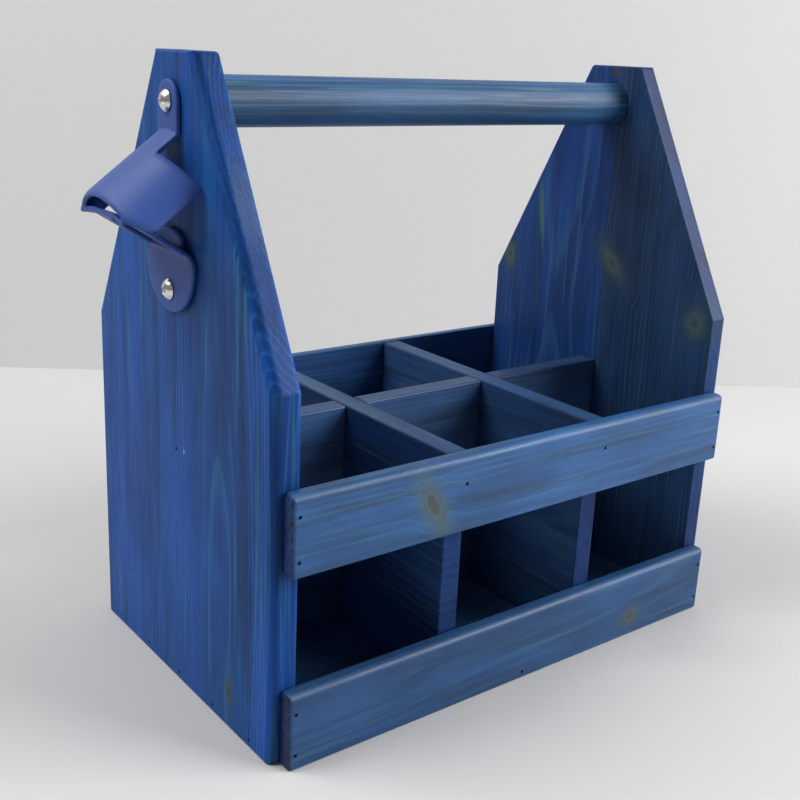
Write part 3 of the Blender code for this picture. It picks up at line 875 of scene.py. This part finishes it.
def make_divider(node, wood, notches, from_top, material):
    """A divider with a half-lap notch at each crossing."""
    low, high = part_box(node)
    lengthwise = high.x - low.x > high.y - low.y
    start, end = (low.x, high.x) if lengthwise else (low.y, high.y)
    lap = (high.z + low.z) / 2
    outline = [(start, low.z)]
    cuts = [(centre - half, centre + half) for centre, half in sorted(notches)]
    if from_top:
        outline += [(end, low.z), (end, high.z)]
        for left, right in reversed(cuts):
            outline += [(right, high.z), (right, lap), (left, lap), (left, high.z)]
        outline += [(start, high.z)]
    else:
        for left, right in cuts:
            outline += [(left, low.z), (left, lap), (right, lap), (right, low.z)]
        outline += [(end, low.z), (end, high.z), (start, high.z)]
    sharp = wood.small_round
    if lengthwise:
        place, depth = placed(Vector((0, high.y, 0)), X_AXIS, Z_AXIS), high.y - low.y
    else:
        place, depth = placed(Vector((low.x, 0, 0)), Y_AXIS, Z_AXIS), high.x - low.x
    slab = (outline, depth, place, [sharp] * len(outline), sharp, DIVIDER_CORNER, 4)
    finish_wood(build(node + "_finished", add_rounded_slab, *slab), material, node)


def make_dowel(material):
    """The handle, with its ends in the boards' sockets."""
    low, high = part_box("handle_dowel")
    radius = (high.z - low.z) / 2
    centre = Vector((low.x, 0, (low.z + high.z) / 2))
    length = high.x - low.x
    profile = [(0, 0), (radius - DOWEL_ARRIS, 0), (radius, 0.6 * MM)]
    profile += [(radius, length * k / 12) for k in range(1, 12)]
    profile += [(radius, length - 0.6 * MM), (radius - DOWEL_ARRIS, length), (0, length)]
    dowel = build("handle_dowel_finished", add_turned, profile, 72, along_axis(centre, X_AXIS))
    finish_wood(dowel, material, "handle_dowel")


# Opener


RIM_START = 0.84  # the share of the leg's length at which its rim starts
LEG_SHIFT = 1.6 * MM  # how far the leg leans to one side
RIM_INSET = 0.5 * MM
RIM_DROP = 0.6 * MM
MOUTH_START = 4 * MM
MOUTH_TOOL = 8 * MM
MOUTH_SIDE = 0.6 * MM  # how much smaller the mouth's corners are than its half width
TONGUE_HALF_WIDTH = 10.2 * MM
TONGUE_RADIUS = 20 * MM
OPENER_BORE_RADIUS = 1.9 * MM
WELD_GRAIN = 0.42 * MM


class OpenerShape:
    """Places on the opener's bent sheet, from its settings and its screws."""

    def __init__(self, opener):
        self.o = opener
        upper = driven("opener_upper_screw")[0]
        lower = driven("opener_lower_screw")[0]
        self.upper_z, self.lower_z = upper.z, lower.z
        self.wall_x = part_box("left_end_board")[0].x - 0.3 * MM
        self.bend = Vector((self.wall_x - opener.sheet, 0, upper.z - opener.tab_drop))
        self.down = Vector((-math.cos(opener.slope), 0, -math.sin(opener.slope)))
        self.rise = Vector((-math.sin(opener.slope), 0, math.cos(opener.slope)))

    def on_hood(self, along, y, depth):
        """A point of the arch: along the slope, across it and below its outer face."""
        y = max(-self.o.hood_half_width, min(self.o.hood_half_width, y))
        radius = self.o.hood_radius
        lean = math.asin(max(-1, min(1, y / radius)))
        inner = radius - depth
        lift = inner * math.cos(lean) - radius
        return self.bend + self.down * along + self.rise * lift + Y_AXIS * inner * math.sin(lean)

    def lip(self, y):
        """How far along the slope the hood reaches, with its corners rounded."""
        beside = self.o.hood_half_width - abs(y)
        into = max(0, self.o.hood_corner - beside)
        trim = self.o.hood_corner - math.sqrt(max(0, self.o.hood_corner**2 - into**2))
        bow = self.o.lip_bow * max(0, 1 - (y / self.o.plate_radius) ** 2)
        return self.o.neck_length + self.o.hood_length - trim - bow

    def rolled(self, along, y):
        """How far the sheet turns down close to an edge of the hood."""
        start = self.o.neck_length if abs(y) > self.o.neck_half_width else -1
        edges = (along - start, self.lip(y) - along, self.o.hood_half_width - abs(y))
        return self.o.edge_roll * max(0, 1 - min(edges) / (2.4 * MM)) ** 2

    def leg_start(self):
        return Vector((self.wall_x - self.o.sheet / 2, 0, self.lower_z + self.o.leg_above))

    def leg_end(self):
        corner = self.on_hood(self.lip(self.o.plate_radius), self.o.plate_radius, self.o.sheet)
        return Vector((corner.x - RIM_INSET, 0, corner.z - RIM_DROP))


def add_arch(bm, shape, half_width, columns, rows, start, end):
    """A strip of the hood's arch. end gives how far it reaches at a place across."""
    points = []
    for row in range(rows + 1):
        line = []
        for column in range(columns + 1):
            y = half_width * math.sin(math.pi / 2 * (2 * column / columns - 1))
            far = end(y)
            along = start + (far - start) * row / rows
            roll = shape.rolled(along, y) if half_width > shape.o.neck_half_width else 0
            line.append(shape.on_hood(along, y, shape.o.sheet / 2 + roll))
        points.append(line)
    add_thick_sheet(bm, points, shape.o.sheet)


def add_leg(bm, shape):
    """The leg runs up and out from the wall, widens to the lip's corners and turns up between them."""
    start, end = shape.leg_start(), shape.leg_end()
    knee = end + X_AXIS * shape.o.mouth_rim
    narrow, broad = shape.o.leg_start_half, shape.o.leg_end_half
    rows = []
    for row in range(33):
        share = row / 32
        wide = narrow + (broad - narrow) * ease(-0.3, 1, share)
        if share < RIM_START:
            spine = start.lerp(knee, share / RIM_START)
        else:
            spine = knee.lerp(end, (share - RIM_START) / (1 - RIM_START))
        line = []
        for k in range(41):
            across = 2 * k / 40 - 1
            rise = shape.o.turn_up * (1 - ease(0.45, 0.92, abs(across))) * ease(RIM_START, 1, share)
            line.append(spine + Y_AXIS * (wide * across + LEG_SHIFT * share) + Z_AXIS * rise)
        rows.append(line)
    add_thick_sheet(bm, rows, shape.o.sheet * 1.05)


def cut_mouth(piece, shape):
    """Pierce the leg's mouth."""
    start, run = shape.leg_start(), shape.leg_end() - shape.leg_start()
    place = placed(start, run.normalized(), Y_AXIS)
    far = run.length - shape.o.mouth_rim
    half = shape.o.mouth_half_width
    corner = min((far - MOUTH_START) / 2, half - MOUTH_SIDE)
    outline = arc((far - corner, half - corner), corner, 0, 90, 10)
    outline = list(reversed([(u, -v) for u, v in outline])) + outline
    outline += [(MOUTH_START, half), (MOUTH_START, -half)]
    low = place @ Matrix.Translation((0, 0, -MOUTH_TOOL / 2))
    carve(piece, build("mouth", add_prism, outline, MOUTH_TOOL, low))


def plate_outline(opener, shape):
    """The lower plate: a disc below, narrowing at its shoulders to the leg."""
    radius, narrow = opener.plate_radius, opener.leg_start_half
    turn = radius - narrow
    shoulder = shape.leg_start().z + 0.4 * opener.sheet - turn
    outline = arc((0, shape.lower_z - opener.plate_below + radius), radius, 180, 360, 48)
    return outline + arc((narrow, shoulder), turn, 0, 90, 12) + arc((-narrow, shoulder), turn, 90, 180, 12)


def tongue_outline(shape):
    """The tongue behind the mouth, rounded above."""
    top = shape.leg_start().z
    low = top - 1 * MM
    outline = [(-TONGUE_HALF_WIDTH, low), (TONGUE_HALF_WIDTH, low)]
    return outline + arc((0, top - 11 * MM), TONGUE_RADIUS, 59, 121, 12)


def joined(pieces):
    """One mesh from several pieces."""
    bm = bmesh.new()
    for piece in pieces:
        bm.from_mesh(piece.data)
        bpy.data.objects.remove(piece)
    return bm


def make_opener(opener, material):
    """The opener: one pierced and bent sheet with soft, painted edges."""
    shape = OpenerShape(opener)
    sheet, foot = opener.sheet, shape.bend.z - opener.sheet
    wall = placed(Vector((shape.wall_x, 0, 0)), -Y_AXIS, Z_AXIS)
    tab = arc((0, shape.upper_z), opener.tab_radius, 0, 180, 32)
    tab += [(-opener.tab_radius, foot), (opener.tab_radius, foot)]
    neck = (shape, opener.neck_half_width, 12, 10, -0.4 * MM, lambda y: opener.neck_length + sheet)
    hood = (shape, opener.hood_half_width, 48, 24, opener.neck_length, shape.lip)
    leg = build("leg", add_leg, shape)
    cut_mouth(leg, shape)
    parts = [
        build("tab", add_prism, tab, sheet, wall),
        build("neck", add_arch, *neck),
        build("hood", add_arch, *hood),
        leg,
        build("plate", add_prism, plate_outline(opener, shape), sheet, wall),
        build("tongue", add_prism, tongue_outline(shape), sheet, wall),
    ]
    piece = make_piece("bottle_opener_finished", joined(parts))
    weld = piece.modifiers.new("weld", "REMESH")
    weld.mode = "VOXEL"
    weld.voxel_size = WELD_GRAIN
    soften = piece.modifiers.new("soften", "SMOOTH")
    soften.factor = 0.5
    soften.iterations = 5
    bake_modifiers(piece)
    bm = bmesh.new()
    for node in ("opener_upper_screw", "opener_lower_screw"):
        start, inward, _length = driven(node)
        low, high = -1 * MM, 8 * MM
        profile = [(0, low), (OPENER_BORE_RADIUS, low), (OPENER_BORE_RADIUS, high), (0, high)]
        add_turned(bm, profile, 32, along_axis(start, inward))
    carve(piece, make_piece("opener_bores", bm))
    for polygon in piece.data.polygons:
        polygon.use_smooth = True
    finish_piece(piece, material, "opener_paint", "bottle_opener")


# Operators


# Knots and marks, as stained_pine takes them
RIGHT_BOARD_KNOTS = (
    (-10.0, 167.0, 6.0, 8.0, 0.7),
    (-66.0, 147.0, 6.5, 7.5, 0.0),
    (66.0, 159.0, 4.5, 7.0, 0.0),
)
WORN_MARKS = (
    (-42.8, 215.0, 1.0, 26.0, 0.52, (0.06, 0.115, 0.22)),
    (-6.8, 108.0, 0.9, 1.4, 0.0, (0.3, 0.36, 0.42)),
)
RESIN_MARKS = (
    (43.5, 186.0, 3.2, 24.0, 0.12, (0.06, 0.13, 0.09)),
    (-1.0, 262.0, 5.0, 5.0, 0.0, (0.04, 0.045, 0.05)),
)
# Each slat's pith, ring width, knots, tint and seed
SLAT_LOOKS = {
    "front_upper_slat": (
        (-60.0, 70.0), 2.6, [(96.5, -57.5, 6.4, 6.0, -1.1)], (0.92, 0.96, 0.92), 3.3
    ),
    "front_lower_slat": (
        (-48.0, 30.0), 2.4, [(10.5, 71.0, 3.4, 5.0, 0.15)], (0.68, 0.68, 0.66), 8.2
    ),
    "back_upper_slat": ((70.0, 120.0), 2.3, [], (0.7, 0.75, 0.85), 5.5),
    "back_lower_slat": ((64.0, 12.0), 2.5, [(20.0, 40.0, 2.5, 4.5, 0.1)], (0.9, 0.85, 0.8), 2.4),
}
# Each cross divider's pith, ring width, seed and boldness
DIVIDER_LOOKS = {"left": ((-30.0, 300.0), 4.6, 2.9, 0.9), "right": ((90.0, 60.0), 2.0, 7.3, 0.5)}


class CARRIER_OT_end_boards(bpy.types.Operator):
    """Build the two gabled end boards"""

    bl_idname = "carrier.end_boards"
    bl_label = "End boards"

    def execute(self, context):
        wood = context.scene.carrier_wood
        left = stained_pine(
            "left_board_pine", wood, "Z", (-98.0, -34.0), 1.7, [(-44.0, 17.0, 2.6, 6.0, 0.0)],
            (0.38, 0.76, 1.26), 1.7, bold=1.4, sheen=0.45, dull=(-57.0, -17.0, (0.92, 1.0, 0.86)),
            edges=(-127.5, -116.0), marks=WORN_MARKS,
        )
        right = stained_pine(
            "right_board_pine", wood, "Z", (168.0, 26.0), 2.0, RIGHT_BOARD_KNOTS,
            (0.5, 0.56, 0.8), 6.1, bold=0.9, sheen=0.5, dull=(-90.0, -4.0, (1.35, 0.93, 0.62)),
            edges=(116.0, 127.5), marks=RESIN_MARKS,
        )
        make_board("left_end_board", wood, -1, left)
        make_board("right_end_board", wood, 1, right)
        return {"FINISHED"}


class CARRIER_OT_slats(bpy.types.Operator):
    """Build the four slats"""

    bl_idname = "carrier.slats"
    bl_label = "Slats"

    def execute(self, context):
        wood = context.scene.carrier_wood
        for node, look in SLAT_LOOKS.items():
            ends = (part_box(node)[1].x / MM, 1.0)
            pine = stained_pine(node + "_pine", wood, "X", *look, bold=0.62, sheen=1.2, ends=ends)
            make_slat(node, wood, pine)
        return {"FINISHED"}


class CARRIER_OT_floor(bpy.types.Operator):
    """Build the bottom board"""

    bl_idname = "carrier.floor"
    bl_label = "Bottom board"

    def execute(self, context):
        wood = context.scene.carrier_wood
        # The floor takes the inside tint: painted shade, a darker and greyer stain
        pine = stained_pine("floor_pine", wood, "X", (10.0, -60.0), 2.6, [], INSIDE_SHADE_TINT, 4.1, 0, bold=0.5)
        make_floor(wood, pine)
        return {"FINISHED"}


class CARRIER_OT_dividers(bpy.types.Operator):
    """Build the crossed dividers"""

    bl_idname = "carrier.dividers"
    bl_label = "Dividers"

    def execute(self, context):
        wood = context.scene.carrier_wood
        # The long and cross dividers take the inside tint: painted shade, a darker and greyer stain
        look = ((-40.0, 160.0), 2.2, [], INSIDE_SHADE_TINT, 9.7)
        pine = stained_pine("long_divider_pine", wood, "X", *look, bold=0.5)
        crosses = [notch_for(side + "_cross_divider", 0) for side in DIVIDER_LOOKS]
        make_divider("long_divider", wood, crosses, True, pine)
        for side, (pith, ring, seed, bold) in DIVIDER_LOOKS.items():
            node = side + "_cross_divider"
            look = (pith, ring, [], INSIDE_SHADE_TINT, seed)
            ends = (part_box(node)[1].y / MM, 0.0)
            pine = stained_pine(side + "_divider_pine", wood, "Y", *look, bold=bold, sheen=0.5, ends=ends)
            make_divider(node, wood, [notch_for("long_divider", 1)], False, pine)
        return {"FINISHED"}


class CARRIER_OT_handle(bpy.types.Operator):
    """Build the dowel handle"""

    bl_idname = "carrier.handle"
    bl_label = "Handle"

    def execute(self, context):
        wood = context.scene.carrier_wood
        look = ((-26.0, 214.0), 3.0, [], (1.0, 0.92, 0.82), 5.9)
        make_dowel(stained_pine("handle_pine", wood, "X", *look, bold=1.3))
        return {"FINISHED"}


class CARRIER_OT_opener(bpy.types.Operator):
    """Build the bottle opener"""

    bl_idname = "carrier.opener"
    bl_label = "Bottle opener"

    def execute(self, context):
        opener = context.scene.carrier_opener
        make_opener(opener, powder_paint("opener_powder_paint", opener))
        return {"FINISHED"}


class CARRIER_OT_fastenings(bpy.types.Operator):
    """Build the screws and nails"""

    bl_idname = "carrier.fastenings"
    bl_label = "Screws and nails"

    def execute(self, context):
        metal = context.scene.carrier_metal
        bright = plated_steel("bright_plating", metal)
        for node in SCREWS:
            make_screw(node, metal, bright)
        dark = dark_steel("stained_nail_steel", metal)
        for node in NAILS:
            make_nail(node, dark)
        return {"FINISHED"}


# Stage


CAMERA_PLACE = Vector((-0.32137, -0.39172, 0.26931))
CAMERA_AZIMUTH = math.radians(-37.821)
CAMERA_HEIGHT = math.radians(16.556)
CAMERA_ROLL = math.radians(2.546)
CAMERA_LENS = 49.99
CAMERA_SENSOR = 36
CAMERA_SHIFT = (0.01073, -0.02826)
WALL_PLACE = Vector((0.2468, 0.3158, 0))
WALL_RUN = Vector((0.828, -0.561, 0)).normalized()
TABLE_REACH, TABLE_THICKNESS = 6, 0.02
WALL_REACH = 4
LIGHT_AIM = Vector((0, 0, 0.1))


def make_camera():
    """The camera that the scene is seen through."""
    data = bpy.data.cameras.new("carrier_camera")
    data.lens = CAMERA_LENS
    data.sensor_width = CAMERA_SENSOR
    data.shift_x, data.shift_y = CAMERA_SHIFT
    data.clip_start = 0.01
    camera = bpy.data.objects.new("carrier_camera", data)
    bpy.context.scene.collection.objects.link(camera)
    flat = math.cos(CAMERA_HEIGHT)
    level = (math.sin(CAMERA_AZIMUTH) * flat, -math.cos(CAMERA_AZIMUTH) * flat)
    back = Vector((*level, math.sin(CAMERA_HEIGHT)))
    right = (-back).cross(Z_AXIS).normalized()
    upright = back.cross(right)
    turned = Matrix.Rotation(CAMERA_ROLL, 3, back)
    facing = Matrix((turned @ right, turned @ upright, back)).transposed().to_4x4()
    camera.matrix_world = Matrix.Translation(CAMERA_PLACE) @ facing
    bpy.context.scene.camera = camera


def add_light(name, place, side, power, colour):
    """A square area light, aimed at the carrier's middle."""
    data = bpy.data.lights.new(name, "AREA")
    data.shape = "SQUARE"
    data.size = side
    data.energy = power
    data.color = colour
    light = bpy.data.objects.new(name, data)
    light.location = place
    light.rotation_euler = (LIGHT_AIM - Vector(place)).to_track_quat("-Z", "Y").to_euler()
    bpy.context.scene.collection.objects.link(light)


def plain_surface(name, colour, one_sided=False):
    """A matt, slightly uneven surface. A one-sided one is clear when it is looked at from behind."""
    finish = Finish(name)
    spot = finish.point(*finish.place())
    cloud = finish.noise(spot, 0.004, 3.0)
    base = finish.mix(cloud, times(colour, 0.97), colour)
    finish.set(base_color=base, roughness=0.75, specular_ior_level=0.2)
    finish.bump(finish.noise(spot, 0.4, 3.0), 0.05 * MM, 0.3)
    if one_sided:
        behind = finish.node("ShaderNodeNewGeometry", output="Backfacing")
        clear = finish.node("ShaderNodeBsdfTransparent")
        paint = Wire(finish, finish.shader.outputs[0])
        shown = finish.node("ShaderNodeMixShader", None, {0: behind, 1: paint, 2: clear})
        finish.join(finish.tree.nodes["Material Output"].inputs["Surface"], shown)
    return finish.material


def add_wall(bm):
    """One face that stands behind the carrier and faces it."""
    corners = rectangle(-WALL_REACH, WALL_REACH, 0, WALL_REACH)
    bm.faces.new([bm.verts.new(WALL_PLACE + WALL_RUN * u + Z_AXIS * v) for u, v in corners])


class CARRIER_OT_stage(bpy.types.Operator):
    """Build the table, the wall, the lights and the camera"""

    bl_idname = "carrier.stage"
    bl_label = "Stage"

    def execute(self, context):
        stage = context.scene.carrier_stage
        reach = rectangle(-TABLE_REACH, TABLE_REACH, -TABLE_REACH, TABLE_REACH)
        table = build("table", add_prism, reach, -TABLE_THICKNESS)
        table.data.materials.append(plain_surface("table_paint", stage.table_colour))
        wall = build("wall", add_wall)
        wall.data.materials.append(plain_surface("wall_paint", stage.wall_colour, one_sided=True))
        make_camera()
        add_light("key", (-0.9, 0.45, 1.35), 0.9, stage.key, (1.0, 0.99, 0.97))
        add_light("front", (1.25, -1.35, 0.95), 1.3, stage.front, (1.0, 1.0, 1.0))
        world = bpy.data.worlds.new("room")
        world.use_nodes = True
        background = world.node_tree.nodes["Background"]
        background.inputs["Color"].default_value = (1, 1, 1, 1)
        background.inputs["Strength"].default_value = stage.sky
        context.scene.world = world
        context.scene.view_settings.view_transform = "Standard"
        return {"FINISHED"}


# Panel and registration


STEPS = (
    CARRIER_OT_end_boards,
    CARRIER_OT_slats,
    CARRIER_OT_floor,
    CARRIER_OT_dividers,
    CARRIER_OT_handle,
    CARRIER_OT_opener,
    CARRIER_OT_fastenings,
    CARRIER_OT_stage,
)


class CARRIER_PT_steps(bpy.types.Panel):
    """The steps of the build and their settings"""

    bl_idname = "CARRIER_PT_steps"
    bl_label = "Bottle carrier"
    bl_space_type = "VIEW_3D"
    bl_region_type = "UI"
    bl_category = "Carrier"

    def draw(self, context):
        for name, settings in SETTINGS.items():
            column = self.layout.column()
            for key in settings.__annotations__:
                column.prop(getattr(context.scene, name), key)
        for step in STEPS:
            self.layout.operator(step.bl_idname)


SETTINGS = {
    "carrier_wood": CarrierWoodSettings,
    "carrier_opener": CarrierOpenerSettings,
    "carrier_metal": CarrierMetalSettings,
    "carrier_stage": CarrierStageSettings,
}
CLASSES = (*SETTINGS.values(), *STEPS, CARRIER_PT_steps)


def register():
    for item in CLASSES:
        bpy.utils.register_class(item)
    for name, settings in SETTINGS.items():
        setattr(bpy.types.Scene, name, bpy.props.PointerProperty(type=settings))


def unregister():
    for name in SETTINGS:
        delattr(bpy.types.Scene, name)
    for item in reversed(CLASSES):
        bpy.utils.unregister_class(item)


def main():
    """Build everything in order."""
    register()
    for step in STEPS:
        group, name = step.bl_idname.split(".")
        getattr(getattr(bpy.ops, group), name)()


if __name__ == "__main__":
    main()
